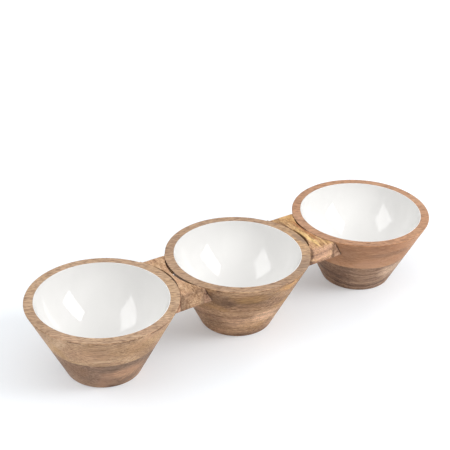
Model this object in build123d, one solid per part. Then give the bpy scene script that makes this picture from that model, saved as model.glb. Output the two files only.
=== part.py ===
from build123d import *
import itertools
import math
import os

# A chip and dip server: three turned wooden bowls in a row, lined with white
# enamel and joined at rim height by two short wooden bridges. A bridge's ends
# are upright arcs, so the sloping bowls fall away under them. Filler closes
# that wedge at the corners, and hidden dowels carry the load across it.
# Millimetres, +Z up, +X along the row. The origin is on the table, under the
# middle bowl.

# Bowls. Each one is turned from two layers of wood, glued one on the other.
left_pitch = 158.0           # from the left bowl's axis to the middle bowl's
right_pitch = 163.0          # from the middle bowl's axis to the right bowl's
bowl_height = 78.0           # table to the rim's top face
rim_diameter = 150.0         # outside of the rim, before its edge is eased
base_diameter = 74.5         # outside of the foot
rim_width = 9.6              # rim's top face, measured level
floor_thickness = 17.0       # wood under the deepest point of the hollow
floor_radius = 50.0          # of the hollow's round floor
floor_spread = 33.0          # degrees from the axis at which the floor runs into the side
glue_line_height = 39.0      # table to the joint between the two layers
enamel_thickness = 0.7
rim_easing = 0.8             # radius sanded onto the free part of the rim's outer edge
foot_easing = 1.5            # radius on the foot's edge

# Bridges. Their tops are flush with the rims.
bridge_width = 75.0          # across the row
bridge_thickness = 19.0
bridge_top_easing = 3.0      # radius on the two long top edges
bridge_bottom_easing = 2.0   # radius on the two long bottom edges
joint_gap = 0.6              # between a rim and a bridge's end, where filler closes it
filler_turn = 14.0           # degrees that a filler's free side turns in from the bridge's side

# Dowels. They lie along the row, through a bridge and into both its bowls.
dowel_diameter = 6.0
dowel_spacing = 32.0         # between the two dowels of one bridge
dowel_depth = 8.0            # rim's top face down to a dowel's axis
dowel_cover = 2.0            # wood left between a blind hole and the bowl's hollow
dowel_end_clearance = 0.5    # air left at the bottom of each blind hole

# Bridge ends are shaped by hand, so between its fillers each one stands off
# from its rim by an open crescent: (widest gap, width of the front filler,
# width of the back filler), the widths measured across the row.
bridge_ends = {
    ("left_bridge", "left"): (2.0, 16.0, 13.0),
    ("left_bridge", "right"): (2.8, 9.0, 10.0),
    ("right_bridge", "left"): (3.2, 9.0, 27.0),
    ("right_bridge", "right"): (1.6, 35.0, 12.0),
}

# Sizes that follow from those above.
rim_radius = rim_diameter / 2
base_radius = base_diameter / 2
mouth_radius = rim_radius - rim_width
seam_radius = rim_radius + joint_gap
bridge_bottom = bowl_height - bridge_thickness
wall_angle = math.atan2(rim_radius - base_radius, bowl_height)

# The hollow's floor is one arc, and its side a second arc that carries on
# smoothly from the floor's edge to the mouth.
spread = math.radians(floor_spread)
floor_centre = floor_thickness + floor_radius
edge_x = floor_radius * math.sin(spread)
edge_z = floor_centre - floor_radius * math.cos(spread)
across = mouth_radius - edge_x
up = bowl_height - edge_z
side_radius = (across**2 + up**2) / (2 * (up * math.cos(spread) - across * math.sin(spread)))
side_x = edge_x - side_radius * math.sin(spread)
side_z = edge_z + side_radius * math.cos(spread)

# How far a bowl's hollow reaches towards its bridge at the height of the dowels' tops.
dowel_top = bowl_height - dowel_depth + dowel_diameter / 2
hollow_at_dowel = side_x + math.sqrt(side_radius**2 - (dowel_top - side_z) ** 2)
hollow_reach = math.sqrt(hollow_at_dowel**2 - (dowel_spacing / 2 - dowel_diameter / 2) ** 2)

bowl_places = {"left": -left_pitch, "middle": 0.0, "right": right_pitch}
bridge_spans = {"left_bridge": (-left_pitch, 0.0), "right_bridge": (0.0, right_pitch)}


def turn(*edges):
    """Spin a closed outline, drawn as radius and height, about the Z axis."""
    return revolve(Plane.XZ * make_face(edges), Axis.Z)


def bowl_cone(low):
    """A bowl's outside as a solid cone, from one height up to the rim."""
    low_radius = rim_radius - (bowl_height - low) * math.tan(wall_angle)
    outline = Polyline(
        (0, low), (low_radius, low), (rim_radius, bowl_height), (0, bowl_height), close=True
    )
    return turn(*outline.edges())


def hollow_outline(inset):
    """The floor's arc and the side's arc of the hollow, moved inwards by inset."""

    def on_floor(angle):
        radius = floor_radius - inset
        return (radius * math.sin(angle), floor_centre - radius * math.cos(angle))

    def on_side(height):
        radius = side_radius - inset
        return (side_x + math.sqrt(radius**2 - (height - side_z) ** 2), height)

    edge = on_floor(spread)
    mouth = on_side(bowl_height)
    floor = ThreePointArc(on_floor(0), on_floor(spread / 2), edge)
    return [floor, ThreePointArc(edge, on_side((edge[1] + bowl_height) / 2), mouth)]


def hollow():
    """The space that is turned out of a bowl's wood."""
    arc, side = hollow_outline(0)
    lid = Polyline(side @ 1, (0, bowl_height), arc @ 0)
    return turn(arc, side, *lid.edges())


def at_bowl(bowl_x, shape):
    return Pos(bowl_x, 0, 0) * shape


def eased_blank(bowl_x):
    """A bowl's outside, with the foot's edge and the rim's free edge rounded."""
    sharp = bowl_cone(0)
    rim_edge = sharp.edges().group_by(Axis.Z)[-1].filter_by(GeomType.CIRCLE)
    foot_edge = sharp.edges().group_by(Axis.Z)[0].filter_by(GeomType.CIRCLE)
    shaving = at_bowl(bowl_x, sharp - fillet(rim_edge, rim_easing))
    for span in bridge_spans.values():
        if bowl_x in span:
            length = span[1] - span[0]
            middle = Pos(sum(span) / 2, 0, bowl_height)
            shaving = shaving - middle * Box(length, bridge_width, 2 * bridge_thickness)
    return at_bowl(bowl_x, fillet(foot_edge, foot_easing)) - shaving


def dowels(bridge, end_room=0.0):
    """A bridge's two dowels by side, or their holes where there is room at the ends."""
    start, finish = bridge_spans[bridge]
    hole_length = finish - start - 2 * (hollow_reach + dowel_cover)
    length = hole_length - 2 * (dowel_end_clearance - end_room)
    sides = {}
    for side, direction in (("front", -1), ("back", 1)):
        middle = Pos((start + finish) / 2, direction * dowel_spacing / 2, bowl_height - dowel_depth)
        sides[side] = middle * Rot(0, 90, 0) * Cylinder(dowel_diameter / 2, length)
    return sides


def layer(bowl, low, high):
    """The part of a bowl between two heights."""
    middle = bowl.bounding_box().center()
    slab = Box(2 * rim_diameter, 2 * rim_diameter, high - low)
    return bowl & (Pos(middle.X, middle.Y, (low + high) / 2) * slab)


def wooden_bowl(bowl_x):
    """Upper and lower layer of one bowl, hollowed and drilled for its dowels."""
    bowl = eased_blank(bowl_x) - at_bowl(bowl_x, hollow())
    for bridge, span in bridge_spans.items():
        if bowl_x in span:
            for hole in dowels(bridge, dowel_end_clearance).values():
                bowl = bowl - hole
    return layer(bowl, glue_line_height, bowl_height), layer(bowl, 0, glue_line_height)


def enamel(bowl_x):
    """The lining, one skin from the middle of the floor up to the rim."""
    wood_arc, wood_side = hollow_outline(0)
    inner_arc, inner_side = hollow_outline(enamel_thickness)
    centre = Line(inner_arc @ 0, wood_arc @ 0)
    lip = Line(wood_side @ 1, inner_side @ 1)
    return at_bowl(bowl_x, turn(centre, wood_arc, wood_side, lip, inner_side, inner_arc))


def upright(radius):
    """A cylinder about the Z axis, as deep as the bridges are thick."""
    return Pos(0, 0, bowl_height - bridge_thickness / 2) * Cylinder(radius, bridge_thickness)


def bridge_blank(bridge):
    """A bridge's board before its ends are cut, from one bowl's axis to the next."""
    start, finish = bridge_spans[bridge]
    middle = Pos((start + finish) / 2, 0, bowl_height - bridge_thickness / 2)
    board = middle * Box(finish - start, bridge_width, bridge_thickness)
    board = fillet(board.edges().filter_by(Axis.X).group_by(Axis.Z)[-1], bridge_top_easing)
    return fillet(board.edges().filter_by(Axis.X).group_by(Axis.Z)[0], bridge_bottom_easing)


def end_frame(bridge, end):
    """The x of the bowl at a bridge's end, and the way from there to the bridge."""
    start, finish = bridge_spans[bridge]
    return (start, 1) if end == "left" else (finish, -1)


def crescent(bridge, end):
    """A cylinder that takes a bridge's end back from its rim between two fillers."""
    gap, front_width, back_width = bridge_ends[bridge, end]
    bowl_x, facing = end_frame(bridge, end)
    front = math.asin((front_width - bridge_width / 2) / seam_radius)
    back = math.asin((bridge_width / 2 - back_width) / seam_radius)
    half_chord = seam_radius * math.sin((back - front) / 2)
    rise = half_chord * math.tan((back - front) / 4) + gap - joint_gap
    radius = (half_chord**2 + rise**2) / (2 * rise)
    offset = rim_radius + gap - radius
    middle = (front + back) / 2
    centre = Pos(bowl_x + facing * offset * math.cos(middle), offset * math.sin(middle), 0)
    return centre * upright(radius)


def bridge_board(bridge):
    """A short board with upright curved ends, bored for its dowels."""
    board = bridge_blank(bridge)
    for end in ("left", "right"):
        bowl_x, _ = end_frame(bridge, end)
        board = board - at_bowl(bowl_x, upright(seam_radius)) - crescent(bridge, end)
    for dowel in dowels(bridge).values():
        board = board - dowel
    return board


def filler(bridge, end, side):
    """The wedge of filler between a bridge's end and its bowl's slope, at one corner."""
    bowl_x, facing = end_frame(bridge, end)
    _, front_width, back_width = bridge_ends[bridge, end]
    width, outwards = (front_width, -1) if side == "front" else (back_width, 1)
    corner_y = outwards * bridge_width / 2
    corner_x = bowl_x + facing * math.sqrt(seam_radius**2 - corner_y**2)
    strip = Pos(bowl_x + facing * rim_radius, corner_y - outwards * width / 2, bowl_height)
    wedge = bridge_blank(bridge) & (strip * Box(rim_diameter, width, 2 * bridge_thickness))
    wedge = (wedge & at_bowl(bowl_x, upright(seam_radius))) - at_bowl(bowl_x, bowl_cone(bridge_bottom))
    reach = bridge_width
    turned = Pos(corner_x, corner_y, bowl_height) * Rot(0, 0, -facing * outwards * filler_turn)
    outside = turned * Pos(-facing * reach / 2, outwards * reach / 2, 0) * Box(reach, reach, reach)
    wedge = wedge - outside
    for dowel in dowels(bridge).values():
        wedge = wedge - dowel
    return wedge


def make_parts():
    parts = {}
    for name, x in bowl_places.items():
        upper, lower = wooden_bowl(x)
        parts[f"{name}_bowl_upper_layer"] = upper
        parts[f"{name}_bowl_lower_layer"] = lower
        parts[f"{name}_bowl_enamel"] = enamel(x)
    for bridge in bridge_spans:
        parts[bridge] = bridge_board(bridge)
        for side, dowel in dowels(bridge).items():
            parts[f"{bridge}_{side}_dowel"] = dowel
        for end, side in itertools.product(("left", "right"), ("front", "back")):
            parts[f"{bridge}_{end}_{side}_filler"] = filler(bridge, end, side)
    return parts


os.makedirs("parts", exist_ok=True)
for node, solid in make_parts().items():
    export_step(solid, f"parts/{node}.step")
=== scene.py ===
import math

import bpy
from mathutils import Euler, Matrix, Vector, noise


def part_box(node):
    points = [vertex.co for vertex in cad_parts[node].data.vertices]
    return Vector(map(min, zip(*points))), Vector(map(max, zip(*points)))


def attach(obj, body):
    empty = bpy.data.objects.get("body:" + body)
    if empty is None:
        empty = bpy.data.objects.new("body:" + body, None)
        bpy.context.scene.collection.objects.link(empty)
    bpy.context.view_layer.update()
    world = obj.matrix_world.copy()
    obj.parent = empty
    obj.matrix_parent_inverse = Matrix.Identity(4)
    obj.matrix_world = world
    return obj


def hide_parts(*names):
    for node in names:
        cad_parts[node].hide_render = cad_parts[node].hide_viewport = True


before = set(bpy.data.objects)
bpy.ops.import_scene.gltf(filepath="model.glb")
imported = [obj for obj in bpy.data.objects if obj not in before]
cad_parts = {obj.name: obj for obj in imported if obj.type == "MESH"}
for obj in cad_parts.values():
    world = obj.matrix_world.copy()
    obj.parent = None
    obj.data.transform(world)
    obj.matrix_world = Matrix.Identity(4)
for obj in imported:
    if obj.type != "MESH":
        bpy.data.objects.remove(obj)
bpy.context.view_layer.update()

MM = 0.001

# ---------------------------------------------------------------- the frame
BOWLS = ("left", "middle", "right")
BRIDGES = ("left_bridge", "right_bridge")
RIM_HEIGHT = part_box("middle_bowl_upper_layer")[1].z
FLOOR_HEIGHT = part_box("middle_bowl_enamel")[0].z
RIM_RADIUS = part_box("middle_bowl_upper_layer")[1].x
BRIDGE_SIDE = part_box("left_bridge")[1].y
MOUTH_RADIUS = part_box("middle_bowl_enamel")[1].x
# Sizes of the CAD that its boxes don't give.
FOOT_RADIUS = 37.25 * MM
FLOOR_RADIUS = 50 * MM
FLOOR_SPREAD = math.radians(33)
ENAMEL_THICKNESS = 0.7 * MM
JOINT_GAP = 0.6 * MM  # between a rim and a bridge's end, where filler closes it
WALL_ANGLE = math.atan2(RIM_RADIUS - FOOT_RADIUS, RIM_HEIGHT)
# The visual enamel has a rounded lip, and is turned in this many steps.
LIP_ROUNDING = 0.35 * MM
FLOOR_STEPS, WALL_STEPS, LIP_STEPS, TURN_STEPS = 24, 48, 5, 192
# How often the sanded faces swell and ripple, per metre.
SWELLS, RIPPLES = 140, 420


def middle_of(node):
    low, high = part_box(node)
    return (low + high) / 2


BOWL_X = {bowl: middle_of(f"{bowl}_bowl_enamel").x for bowl in BOWLS}


# ---------------------------------------------------------------- node trees
def linear(red, green, blue):
    """A colour in the shader's scale from its 0 to 255 values."""
    return tuple(
        c / 12.92 if c <= 0.04045 else ((c + 0.055) / 1.055) ** 2.4
        for c in (red / 255, green / 255, blue / 255)
    ) + (1.0,)


class Graph:
    """A material and a short way to add nodes to it."""

    def __init__(self, name):
        self.material = bpy.data.materials.new(name)
        self.material.use_nodes = True
        self.tree = self.material.node_tree
        self.shader = self.tree.nodes["Principled BSDF"]

    def set(self, socket, value):
        if isinstance(value, bpy.types.NodeSocket):
            self.tree.links.new(value, socket)
        else:
            socket.default_value = value

    def node(self, kind, inputs=(), **settings):
        node = self.tree.nodes.new(kind)
        for key, value in settings.items():
            setattr(node, key, value)
        for key, value in dict(inputs).items():
            self.set(node.inputs[key], value)
        return node

    def math(self, operation, a, b=0.0, c=0.0):
        return self.node("ShaderNodeMath", {0: a, 1: b, 2: c}, operation=operation).outputs[0]

    def vector(self, operation, a, b=(0, 0, 0)):
        node = self.node("ShaderNodeVectorMath", {0: a, 1: b}, operation=operation)
        return node.outputs["Value" if operation == "LENGTH" else 0]

    def stretch(self, vector, scale):
        return self.vector("MULTIPLY", vector, scale)

    def noise(self, vector, scale=1.0, detail=2.0, roughness=0.5, colour=False):
        inputs = {"Vector": vector, "Scale": scale, "Detail": detail, "Roughness": roughness}
        return self.node("ShaderNodeTexNoise", inputs).outputs[1 if colour else 0]

    def noise_along(self, value, scale, detail=2.0):
        inputs = {"W": value, "Scale": scale, "Detail": detail}
        return self.node("ShaderNodeTexNoise", inputs, noise_dimensions="1D").outputs[0]

    def remap(self, value, low, high, to_low=0.0, to_high=1.0, smooth=True):
        inputs = {0: value, 1: low, 2: high, 3: to_low, 4: to_high}
        kind = "SMOOTHSTEP" if smooth else "LINEAR"
        return self.node("ShaderNodeMapRange", inputs, interpolation_type=kind).outputs[0]

    def mix(self, factor, a, b):
        return self.node("ShaderNodeMix", {0: factor, 6: a, 7: b}, data_type="RGBA").outputs[2]

    def ramp(self, value, stops):
        node = self.node("ShaderNodeValToRGB", {0: value})
        elements = node.color_ramp.elements
        while len(elements) < len(stops):
            elements.new(0.5)
        for element, (place, colour) in zip(elements, stops):
            element.position = place
            element.color = colour
        return node.outputs[0]

    def place(self):
        """Where a point is, in metres in the frame."""
        return self.node("ShaderNodeTexCoord").outputs["Object"]

    def bump(self, height, strength, depth):
        inputs = {"Height": height, "Strength": strength, "Distance": depth}
        return self.node("ShaderNodeBump", inputs).outputs[0]


# ---------------------------------------------------------------- masks on a bowl
def from_axis(g, place, bowl):
    """Distance of a point from a bowl's upright axis."""
    away = g.vector("SUBTRACT", place, (BOWL_X[bowl], 0, 0))
    return g.vector("LENGTH", g.stretch(away, (1, 1, 0)))


def height_of(g, place):
    return g.node("ShaderNodeSeparateXYZ", {0: place}).outputs[2]


def across_row(g, place):
    """Distance of a point from the upright plane through the bowls' axes."""
    return g.math("ABSOLUTE", g.node("ShaderNodeSeparateXYZ", {0: place}).outputs[1])


def rim_top(g, place):
    """1 on the rim's level top face."""
    return g.remap(height_of(g, place), RIM_HEIGHT - 0.5 * MM, RIM_HEIGHT - 0.1 * MM)


def rim_edge_shade(g, place):
    """1 on a hair line of painted shade, broken by noise, just under the rim's rounded outer edge."""
    height = height_of(g, place)
    band = g.math(
        "MULTIPLY",
        g.remap(height, RIM_HEIGHT - 2.6 * MM, RIM_HEIGHT - 1.6 * MM),
        g.remap(height, RIM_HEIGHT - 0.4 * MM, RIM_HEIGHT - 1.0 * MM),
    )
    broken = g.remap(g.noise(place, scale=95, detail=4, roughness=0.65), 0.42, 0.62)
    return g.math("MULTIPLY", band, broken)


def stain_and_shade_spot(g, place, colour, shade, ragged, centre, radius, tint, strength):
    """A spot of another tone, its edge torn along the grain: centre and radii in mm.
    It serves for the wood's own coloured spots and for painted light and painted shade.
    """
    away = g.vector("SUBTRACT", place, Vector(centre) * MM)
    away = g.vector("LENGTH", g.stretch(away, tuple(1 / (r * MM) for r in radius)))
    distance = g.math("MULTIPLY_ADD", g.math("SUBTRACT", ragged, 0.5), 1.8, away)
    grained = g.vector("MULTIPLY", tint[:3], g.remap(shade, 0.1, 0.9, 0.6, 1.4, smooth=False))
    return g.mix(g.remap(distance, 1.25, 0.35, 0.0, strength), colour, grained)


# ---------------------------------------------------------------- wood
# Dark pores, and the painted shade line under a rim's outer edge.
DARK_GRAIN_AND_EDGE_SHADE = linear(74, 48, 34)
# Painted shade for the gaps at a bridge's ends and for the filler's creases.
JOINT_SHADE = linear(66, 46, 34)


def wood(name, pith, turn, tilt, tones, tints, band=8.0, warp=5.0, figure=0.5, fine=1.0, pores=1.0,
         mottle=0.0, rim=None, edge=0.0, ends=(), stains_and_shading=()):
    """Solid wood cut from a log: its rings lie round the log's axis, and its grain along it.

    pith is a point on the log's axis in mm, turn and tilt the axis' direction in degrees.
    tones are the dark, middle and light wood, and tints two colours that drift through it.
    band is the rings' usual width and warp how far they wander, both in mm. figure, fine,
    pores and mottle are the strengths of the rings, fibres, pores and blotches. rim is the
    tone of a bowl's sanded rim, edge the strength of the painted shade line under it, ends the
    bowls whose gaps put painted shade on a bridge's ends, and stains_and_shading the spots on
    it, as stain_and_shade_spot takes them: the wood's own coloured spots, and painted light and
    painted shade.
    """
    g = Graph(name)
    place = g.place()
    board = g.node(
        "ShaderNodeMapping",
        {
            "Vector": place,
            "Location": Vector(pith) * MM,
            "Rotation": Euler((0, math.radians(tilt), math.radians(turn))),
        },
        vector_type="TEXTURE",
    ).outputs[0]
    # The noises' stretches are in cells per metre: along the grain, then twice across it.
    drift = g.noise(g.stretch(board, (9, 24, 24)), detail=4, roughness=0.6, colour=True)
    drift = g.stretch(g.vector("SUBTRACT", drift, (0.5, 0.5, 0.5)), (0, 2 * warp * MM, 2 * warp * MM))
    bent = g.vector("ADD", board, drift)
    ring = g.vector("LENGTH", g.stretch(bent, (0, 1, 1)))

    wide = g.noise_along(ring, 1 / (band * MM), detail=2)
    narrow = g.noise_along(ring, 4.5 / (band * MM), detail=2)
    fibre = g.noise(g.stretch(bent, (34, 620, 620)), detail=3, roughness=0.6)
    dash = g.noise(g.stretch(bent, (120, 1000, 1000)), detail=2, roughness=0.6)
    hair = g.noise(g.stretch(bent, (80, 2600, 2600)), detail=2, roughness=0.6)
    patch = g.noise(g.stretch(board, (12, 26, 26)), detail=3)
    drifted = g.noise(g.stretch(board, (15, 30, 30)), scale=1.3, detail=3)
    blotch = g.noise(place, scale=330, detail=3, roughness=0.65)

    shade = 0.5
    for part, weight in (
        (wide, 1.2 * figure), (narrow, 0.8 * figure), (fibre, 0.85 * fine), (dash, 1.0 * fine),
        (hair, 0.5 * fine), (patch, 0.75), (blotch, mottle),
    ):
        shade = g.math("MULTIPLY_ADD", g.math("SUBTRACT", part, 0.5), weight, shade)
    dark, middle, light = tones
    colour = g.ramp(shade, ((0.14, dark), (0.5, middle), (0.86, light)))
    colour = g.mix(g.remap(drifted, 0.5, 0.7, 0.0, 0.5), colour, tints[0])
    colour = g.mix(g.remap(drifted, 0.5, 0.3, 0.0, 0.5), colour, tints[1])
    streak = g.noise(g.stretch(bent, (16, 300, 300)), detail=2, roughness=0.55)
    ragged = g.noise(g.stretch(bent, (22, 260, 260)), detail=4, roughness=0.65)
    for spot in stains_and_shading:
        colour = stain_and_shade_spot(g, place, colour, shade, ragged, *spot)
    colour = g.mix(g.remap(streak, 0.6, 0.74, 0.0, 0.55 * figure), colour, dark)
    pore = g.remap(g.noise(g.stretch(bent, (240, 1900, 1900)), detail=1), 0.6, 0.7)
    colour = g.mix(g.math("MULTIPLY", pore, 0.6 * pores), colour, DARK_GRAIN_AND_EDGE_SHADE)

    if rim:
        top = rim_top(g, place)
        colour = g.mix(g.math("MULTIPLY", top, 0.4), colour, rim)
        hatch = g.remap(g.noise(g.stretch(board, (150, 1100, 1100)), detail=2), 0.48, 0.62)
        colour = g.mix(g.math("MULTIPLY", g.math("MULTIPLY", hatch, top), 0.6), colour, UMBER)
        # A hair line of painted shade under the rim's rounded outer edge.
        colour = g.mix(g.math("MULTIPLY", rim_edge_shade(g, place), edge), colour, DARK_GRAIN_AND_EDGE_SHADE)
    # Painted shade on a bridge's ends, down in the gaps beside the bowls' rims, broken up by noise.
    for bowl in ends:
        patchy = g.remap(g.noise(place, scale=150, detail=3), 0.36, 0.56, 0.35, 0.85)
        near = g.remap(from_axis(g, place, bowl), RIM_RADIUS + 4.2 * MM, RIM_RADIUS + 2.6 * MM)
        below = g.remap(height_of(g, place), RIM_HEIGHT - 0.2 * MM, RIM_HEIGHT - 1.2 * MM)
        inside = g.remap(
            across_row(g, place), BRIDGE_SIDE - 0.6 * MM, BRIDGE_SIDE - 2.5 * MM, 0.3, 1.0
        )
        gap_shade = g.math("MULTIPLY", g.math("MULTIPLY", near, below), g.math("MULTIPLY", inside, patchy))
        colour = g.mix(gap_shade, colour, JOINT_SHADE)

    g.set(g.shader.inputs["Base Color"], colour)
    rough = g.remap(fibre, 0.3, 0.7, 0.58, 0.46)
    g.set(g.shader.inputs["Roughness"], g.math("MULTIPLY_ADD", pore, 0.2, rough))
    g.shader.inputs["Specular IOR Level"].default_value = 0.3
    relief = g.math("MULTIPLY_ADD", pore, -0.7, g.math("MULTIPLY", fibre, 0.5))
    relief = g.math("MULTIPLY_ADD", dash, 0.5, relief)
    g.set(g.shader.inputs["Normal"], g.bump(relief, 0.4, 0.3 * MM))
    return g.material


def filler_paste(name):
    """Glue and sawdust, spread by hand: dull and blotchy, with painted shade in the creases where it
    meets other wood.
    """
    g = Graph(name)
    place = g.place()
    blotch = g.noise(place, scale=260, detail=4, roughness=0.65)
    grit = g.noise(place, scale=1500, detail=2)
    shade = g.math("MULTIPLY_ADD", g.math("SUBTRACT", grit, 0.5), 0.5, blotch)
    stops = ((0.32, linear(96, 68, 52)), (0.45, linear(164, 124, 98)), (0.62, linear(200, 162, 134)))
    colour = g.ramp(shade, stops)
    slope = math.tan(WALL_ANGLE)
    wall = g.math("MULTIPLY_ADD", height_of(g, place), slope, RIM_RADIUS - RIM_HEIGHT * slope)
    # Painted shade in the creases against the bowl's wall and the bridge's end, deeper below the top.
    below_top = g.remap(height_of(g, place), RIM_HEIGHT - 1.0 * MM, RIM_HEIGHT - 4.0 * MM, 0.15, 1.0)
    for bowl in BOWLS:
        away = from_axis(g, place, bowl)
        to_wall = g.math("ABSOLUTE", g.math("SUBTRACT", away, wall))
        to_bridge = g.math("ABSOLUTE", g.math("SUBTRACT", away, RIM_RADIUS + JOINT_GAP))
        at_wall = g.remap(to_wall, 1.8 * MM, 0.4 * MM)
        at_bridge = g.remap(to_bridge, 1.1 * MM, 0.3 * MM, 0.0, 0.4)
        crease = g.math("MAXIMUM", at_wall, at_bridge)
        colour = g.mix(g.math("MULTIPLY", crease, g.math("MULTIPLY", below_top, 0.8)), colour, JOINT_SHADE)
    g.set(g.shader.inputs["Base Color"], colour)
    g.shader.inputs["Roughness"].default_value = 0.75
    g.shader.inputs["Specular IOR Level"].default_value = 0.25
    g.set(g.shader.inputs["Normal"], g.bump(shade, 0.6, 0.5 * MM))
    return g.material


def white_enamel():
    """Glossy white lacquer with the faint waviness of a hand-dipped coat."""
    g = Graph("white_enamel")
    place = g.place()
    wave = g.noise(place, scale=30, detail=1)
    cloud = g.noise(place, scale=14, detail=2)
    tone = g.ramp(cloud, ((0.35, linear(223, 222, 220)), (0.65, linear(227, 226, 224))))
    g.set(g.shader.inputs["Base Color"], tone)
    g.shader.inputs["Roughness"].default_value = 0.06
    g.shader.inputs["IOR"].default_value = 1.52
    g.set(g.shader.inputs["Normal"], g.bump(wave, 0.25, 0.8 * MM))
    return g.material


TAN = (linear(136, 100, 70), linear(184, 147, 112), linear(214, 182, 148))
BROWN = (linear(112, 80, 54), linear(166, 126, 92), linear(202, 166, 128))
DEEP = (linear(92, 64, 48), linear(142, 110, 87), linear(176, 142, 114))
RUSSET = (linear(128, 84, 56), linear(174, 126, 90), linear(204, 158, 120))
HONEY = (linear(112, 72, 44), linear(182, 142, 98), linear(220, 184, 136))
PALE = (linear(186, 152, 112), linear(212, 184, 144), linear(226, 202, 166))
GOLD = linear(190, 146, 90)
PINK = linear(192, 146, 116)
GREY = linear(124, 100, 80)
AMBER = linear(196, 148, 84)
UMBER = linear(92, 62, 42)
RIM_TAN = linear(192, 168, 146)
RIM_ROSE = linear(198, 160, 134)

MATERIALS = {
    "left_bowl_upper_layer": wood(
        "left_bowl_upper_wood", (-158, 40, 150), 148, 4, TAN, (GOLD, PINK), band=9, figure=0.35,
        rim=RIM_TAN, edge=0.8,
        stains_and_shading=(((-150, -60, 62), (34, 30, 14), GOLD, 0.3), ((-196, -36, 58), (22, 30, 14), PINK, 0.35)),
    ),
    "left_bowl_lower_layer": wood(
        "left_bowl_lower_wood", (-158, -120, 60), 160, -3, DEEP, (PINK, GREY), band=16, warp=8,
        figure=0.25, pores=0.5,
        stains_and_shading=(
            # Painted light: a paler spot on the lower wall, right of its middle.
            ((-160, -49, 21), (24, 16, 11), linear(200, 152, 116), 0.5),
            ((-160, -48, 34), (30, 24, 7), GREY, 0.5),
            ((-203, -24, 26), (14, 20, 16), linear(146, 106, 74), 0.55),
            # Darker along the foot's bottom edge.
            ((-168, -36, 1), (9, 7, 3), UMBER, 0.8),
        ),
    ),
    "middle_bowl_upper_layer": wood(
        "middle_bowl_upper_wood", (0, 30, 170), 152, 3, BROWN, (GOLD, GREY), band=10, figure=0.45,
        rim=RIM_TAN, edge=0.9, mottle=0.2,
        stains_and_shading=(
            # Painted shade on the wall, left of its middle.
            ((-54, -42, 62), (22, 26, 14), UMBER, 0.7),
            ((-6, -66, 68), (26, 20, 6), linear(116, 86, 58), 0.5),
            ((-28, -62, 64), (24, 14, 7), linear(180, 134, 76), 0.6),
            ((18, -70, 71), (18, 12, 7), linear(214, 160, 96), 0.75),
            # Painted light on the right side of the wall.
            ((64, -24, 66), (20, 32, 18), linear(216, 168, 108), 0.8),
            ((68, 2, 77.5), (9, 30, 4), GOLD, 0.5),
            # Darker on the rim's top beside the right bridge's gap.
            ((71, -10, 78), (3.6, 17, 3), UMBER, 0.8),
            ((38, -56, 78), (18, 12, 1.5), GREY, 0.6),
        ),
    ),
    "middle_bowl_lower_layer": wood(
        "middle_bowl_lower_wood", (0, -90, -60), 140, 5, BROWN, (GOLD, PINK), band=8, warp=6,
        figure=0.7, mottle=0.5,
        stains_and_shading=(
            # Painted shade on the wall, left of its middle.
            ((-43, -24, 22), (14, 16, 16), UMBER, 0.4),
            # Darker along the foot's bottom edge.
            ((0, -38, 3), (44, 30, 4), UMBER, 0.5),
            # Painted light: a paler spot on the lower wall, right of its middle.
            ((-1, -52, 31), (20, 14, 12), linear(226, 182, 146), 0.85),
            ((-24, -43, 24), (26, 16, 13), linear(202, 160, 128), 0.5),
        ),
    ),
    "right_bowl_upper_layer": wood(
        "right_bowl_upper_wood", (163, 60, 200), 150, -2, RUSSET, (PINK, linear(184, 128, 86)),
        band=14, warp=4, figure=0.25, fine=0.5, pores=0.3, rim=RIM_ROSE, edge=0.2,
        # The first spot is painted shade on the wall, left of its middle.
        stains_and_shading=(((112, -44, 62), (18, 20, 16), UMBER, 0.3), ((150, -66, 60), (40, 20, 4), UMBER, 0.35)),
    ),
    "right_bowl_lower_layer": wood(
        "right_bowl_lower_wood", (163, 20, -140), 150, 1, DEEP, (GREY, BROWN[1]), band=6, warp=3,
        figure=0.9,
        stains_and_shading=(
            # Painted shade on the wall, left of its middle.
            ((118, -20, 24), (18, 24, 20), UMBER, 0.6),
            # Painted light: a paler spot on the lower wall, right of its middle.
            ((168, -50, 30), (17, 14, 13), linear(208, 174, 146), 0.6),
        ),
    ),
    "left_bridge": wood(
        "left_bridge_wood", (-60, 0, 160), -98, 3, TAN, (PINK, PINK), band=8, figure=0.4, mottle=1.1,
        ends=("left", "middle"),
        # The first spot darkens the front face near its left end; the second is painted shade along the
        # top front edge.
        stains_and_shading=(((-88, -37, 66), (8, 6, 12), UMBER, 0.5), ((-78, -36, 76), (20, 5, 2.5), UMBER, 0.4)),
    ),
    "right_bridge": wood(
        "right_bridge_wood", (80, 0, 130), -98, -4, HONEY, (AMBER, PINK), band=5, warp=7,
        figure=0.95, mottle=0.8, ends=("middle", "right"),
        stains_and_shading=(
            ((84, -40, 70), (28, 6, 15), linear(192, 150, 124), 0.85),
            # Painted shade in the front face's corners against the two bowls.
            ((66, -37, 70), (5, 5, 12), UMBER, 0.7),
            ((97, -37, 69), (3, 5, 12), UMBER, 0.7),
            # Painted shade along the gap beside the middle bowl's rim.
            ((74, 14, 78), (2.2, 24, 4), UMBER, 0.7),
            ((86, 2, 78), (2.0, 26, 4), linear(150, 88, 56), 0.7),
            ((80, -14, 78), (2.6, 20, 4), linear(232, 196, 130), 0.6),
            ((91, -20, 78), (1.8, 14, 4), UMBER, 0.6),
        ),
    ),
}
DOWEL_WOOD = wood(
    "dowel_wood", (0, 0, 20), 0, 0, PALE, (linear(220, 190, 150), linear(204, 172, 130)),
    band=5, warp=2, figure=0.5,
)
FILLER = filler_paste("wood_filler")
ENAMEL = white_enamel()


# ---------------------------------------------------------------- pieces
def add(name, data):
    made = bpy.data.objects.new(name, data)
    bpy.context.scene.collection.objects.link(made)
    return made


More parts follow.
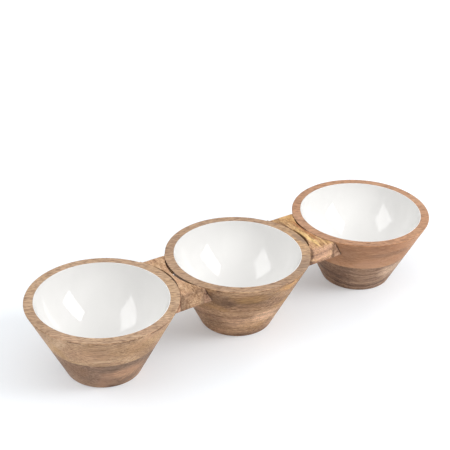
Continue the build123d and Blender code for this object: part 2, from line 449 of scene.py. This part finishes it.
def lining_outline():
    """The enamel's section from the middle of the hollow's floor up, over the lip and back down."""
    floor_centre = FLOOR_HEIGHT + FLOOR_RADIUS
    edge_x = FLOOR_RADIUS * math.sin(FLOOR_SPREAD)
    edge_z = floor_centre - FLOOR_RADIUS * math.cos(FLOOR_SPREAD)
    across, up = MOUTH_RADIUS - edge_x, RIM_HEIGHT - edge_z
    lean = up * math.cos(FLOOR_SPREAD) - across * math.sin(FLOOR_SPREAD)
    side_radius = (across**2 + up**2) / (2 * lean)
    side_x = edge_x - side_radius * math.sin(FLOOR_SPREAD)
    side_z = edge_z + side_radius * math.cos(FLOOR_SPREAD)

    def skin(inset, top):
        radius = FLOOR_RADIUS - inset
        curve = []
        for step in range(FLOOR_STEPS + 1):
            angle = FLOOR_SPREAD * step / FLOOR_STEPS
            curve.append((radius * math.sin(angle), floor_centre - radius * math.cos(angle)))
        radius = side_radius - inset
        finish = math.acos((side_z - top) / radius)
        for step in range(1, WALL_STEPS + 1):
            angle = FLOOR_SPREAD + (finish - FLOOR_SPREAD) * step / WALL_STEPS
            curve.append((side_x + radius * math.sin(angle), side_z - radius * math.cos(angle)))
        return curve

    inside = skin(ENAMEL_THICKNESS, RIM_HEIGHT - LIP_ROUNDING)
    lip_x, lip_z = inside[-1]
    for step in range(1, LIP_STEPS + 1):
        angle = math.pi / 2 * step / LIP_STEPS
        out, up = LIP_ROUNDING * (1 - math.cos(angle)), LIP_ROUNDING * math.sin(angle)
        inside.append((lip_x + out, lip_z + up))
    return inside + skin(0, RIM_HEIGHT)[::-1]


def make_lining(bowl):
    """One bowl's enamel, turned finely enough for its reflections to run true."""
    outline = lining_outline()
    rings = outline[1:-1]
    # Vertices 0 and 1 are the middles of the glossy face and of the face against the wood.
    verts = [(0, 0, outline[0][1]), (0, 0, outline[-1][1])]
    for radius, height in rings:
        for step in range(TURN_STEPS):
            angle = 2 * math.pi * step / TURN_STEPS
            verts.append((radius * math.cos(angle), radius * math.sin(angle), height))
    faces = []
    last_ring = 2 + (len(rings) - 1) * TURN_STEPS
    for step in range(TURN_STEPS):
        after = (step + 1) % TURN_STEPS
        faces.append((0, 2 + step, 2 + after))
        faces.append((1, last_ring + after, last_ring + step))
        for ring in range(len(rings) - 1):
            low = 2 + ring * TURN_STEPS
            faces.append((low + step, low + TURN_STEPS + step, low + TURN_STEPS + after, low + after))
    mesh = bpy.data.meshes.new(f"{bowl}_bowl_lining")
    mesh.from_pydata([(x + BOWL_X[bowl], y, z) for x, y, z in verts], [], faces)
    mesh.shade_smooth()
    mesh.materials.append(ENAMEL)
    lining = add(f"{bowl}_bowl_lining", mesh)
    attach(lining, "root")
    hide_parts(f"{bowl}_bowl_enamel")


def sanded(node, material, voxel, wander):
    """A copy of a CAD piece with hand-sanded edges.

    Its front and back are worn back unevenly by about wander, and its top by less. The
    faces in the joints move only as far as the remesh and the smoothing take them.
    """
    raw = add(f"{node}_raw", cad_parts[node].data.copy())
    remesh = raw.modifiers.new("remesh", "REMESH")
    remesh.mode = "VOXEL"
    remesh.voxel_size = voxel
    soften = raw.modifiers.new("soften", "SMOOTH")
    soften.iterations = 2
    soften.factor = 0.5
    depsgraph = bpy.context.evaluated_depsgraph_get()
    mesh = bpy.data.meshes.new_from_object(raw.evaluated_get(depsgraph))
    bpy.data.objects.remove(raw)
    normals = [vertex.normal.copy() for vertex in mesh.vertices]
    for vertex, normal in zip(mesh.vertices, normals):
        swell = 0.5 + 0.5 * noise.noise(vertex.co * SWELLS) + 0.3 * noise.noise(vertex.co * RIPPLES)
        worn = max(normal.y * math.copysign(1, vertex.co.y), 0.4 * normal.z, 0)
        vertex.co -= normal * wander * worn * max(0, swell)
    mesh.name = f"{node}_sanded"
    mesh.shade_smooth()
    mesh.materials.clear()
    mesh.materials.append(material)
    piece = add(f"{node}_sanded", mesh)
    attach(piece, "root")
    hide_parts(node)


def material_of(node):
    if node.endswith("_enamel"):
        return ENAMEL
    if node.endswith("_dowel"):
        return DOWEL_WOOD
    if node.endswith("_filler"):
        return FILLER
    return MATERIALS[node]


for node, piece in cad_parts.items():
    piece.data.materials.clear()
    piece.data.materials.append(material_of(node))
for bowl in BOWLS:
    make_lining(bowl)
for bridge in BRIDGES:
    sanded(bridge, MATERIALS[bridge], voxel=0.4 * MM, wander=0.5 * MM)
for node in sorted(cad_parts):
    if node.endswith("_filler"):
        sanded(node, FILLER, voxel=0.3 * MM, wander=0.7 * MM)


# ---------------------------------------------------------------- studio
def make_camera():
    """The photograph's view: from the left front, 30 degrees above the level."""
    azimuth, elevation, roll = math.radians(-35.109), math.radians(29.784), math.radians(1.45)
    distance = 1243.425 * MM
    target = Vector((20.925 * MM, 53.55 * MM, RIM_HEIGHT))
    back = Vector((
        math.sin(azimuth) * math.cos(elevation),
        -math.cos(azimuth) * math.cos(elevation),
        math.sin(elevation),
    ))
    level = (-back).cross(Vector((0, 0, 1))).normalized()
    upright = level.cross(-back)
    right = math.cos(roll) * level + math.sin(roll) * upright
    up = math.cos(roll) * upright - math.sin(roll) * level
    data = bpy.data.cameras.new("camera")
    data.sensor_width = 36
    data.lens = 93.648
    data.clip_end = 100
    camera = add("camera", data)
    camera.matrix_world = Matrix((right, up, back)).transposed().to_4x4()
    camera.matrix_world.translation = target + back * distance
    bpy.context.scene.camera = camera


def make_softbox(name, centre, across, along, size, power):
    """A rectangular light, its face spanned by two directions, shining towards the object."""
    data = bpy.data.lights.new(name, "AREA")
    data.shape = "RECTANGLE"
    data.size, data.size_y = size
    data.energy = power
    across = Vector(across).normalized()
    facing = across.cross(Vector(along)).normalized()
    if facing.dot(Vector(centre)) < 0:
        across, facing = -across, -facing
    along = facing.cross(across)
    lamp = add(name, data)
    lamp.matrix_world = Matrix((across, along, facing)).transposed().to_4x4()
    lamp.matrix_world.translation = Vector(centre)


def make_floor():
    """White paper that glows a little, and more away from the object, where it fades to white."""
    reach = 6.0
    mesh = bpy.data.meshes.new("floor")
    corners = [(-reach, -reach, 0), (reach, -reach, 0), (reach, reach, 0), (-reach, reach, 0)]
    mesh.from_pydata(corners, [], [(0, 1, 2, 3)])
    floor = add("floor", mesh)
    g = Graph("floor_paper")
    grain = g.noise(g.place(), scale=900, detail=2)
    tone = g.ramp(grain, ((0.3, linear(219, 224, 229)), (0.7, linear(221, 226, 231))))
    g.set(g.shader.inputs["Base Color"], tone)
    g.shader.inputs["Roughness"].default_value = 0.8
    g.shader.inputs["Specular IOR Level"].default_value = 0.2
    g.shader.inputs["Emission Color"].default_value = (1, 1, 1, 1)
    away = g.vector("LENGTH", g.place())
    glow = g.remap(away, 0.28, 0.8, 0.22, 0.4)
    g.set(g.shader.inputs["Emission Strength"], glow)
    mesh.materials.append(g.material)


def make_world():
    """A soft white sky, brightest overhead, in front of a plain white backdrop."""
    world = bpy.data.worlds.new("studio")
    world.use_nodes = True
    tree = world.node_tree
    coordinates = tree.nodes.new("ShaderNodeTexCoord")
    split = tree.nodes.new("ShaderNodeSeparateXYZ")
    strength = tree.nodes.new("ShaderNodeMapRange")
    for socket, value in (("From Min", 0.0), ("From Max", 1.0), ("To Min", 0.40), ("To Max", 1.02)):
        strength.inputs[socket].default_value = value
    background = tree.nodes["Background"]
    background.inputs["Color"].default_value = (1, 1, 1, 1)
    tree.links.new(coordinates.outputs["Generated"], split.inputs[0])
    tree.links.new(split.outputs[2], strength.inputs["Value"])
    # The camera sees the backdrop, and the object is lit by the sky.
    seen = tree.nodes.new("ShaderNodeMix")
    seen.inputs["B"].default_value = 1.05
    rays = tree.nodes.new("ShaderNodeLightPath")
    tree.links.new(rays.outputs["Is Camera Ray"], seen.inputs["Factor"])
    tree.links.new(strength.outputs[0], seen.inputs["A"])
    tree.links.new(seen.outputs["Result"], background.inputs["Strength"])
    bpy.context.scene.world = world


make_camera()
make_floor()
make_world()
make_softbox(
    "key_softbox", centre=(0.720, -0.865, 0.961), across=(0.77, 0.63, 0.11),
    along=(0.24, -0.12, -0.96), size=(0.55, 0.89), power=14,
)
make_softbox(
    "fill_softbox", centre=(-1.247, 0.489, 1.242), across=(0.40, 0.91, 0.14),
    along=(0.10, 0.11, -0.99), size=(1.10, 0.98), power=11,
)
bpy.context.scene.view_settings.view_transform = "Standard"
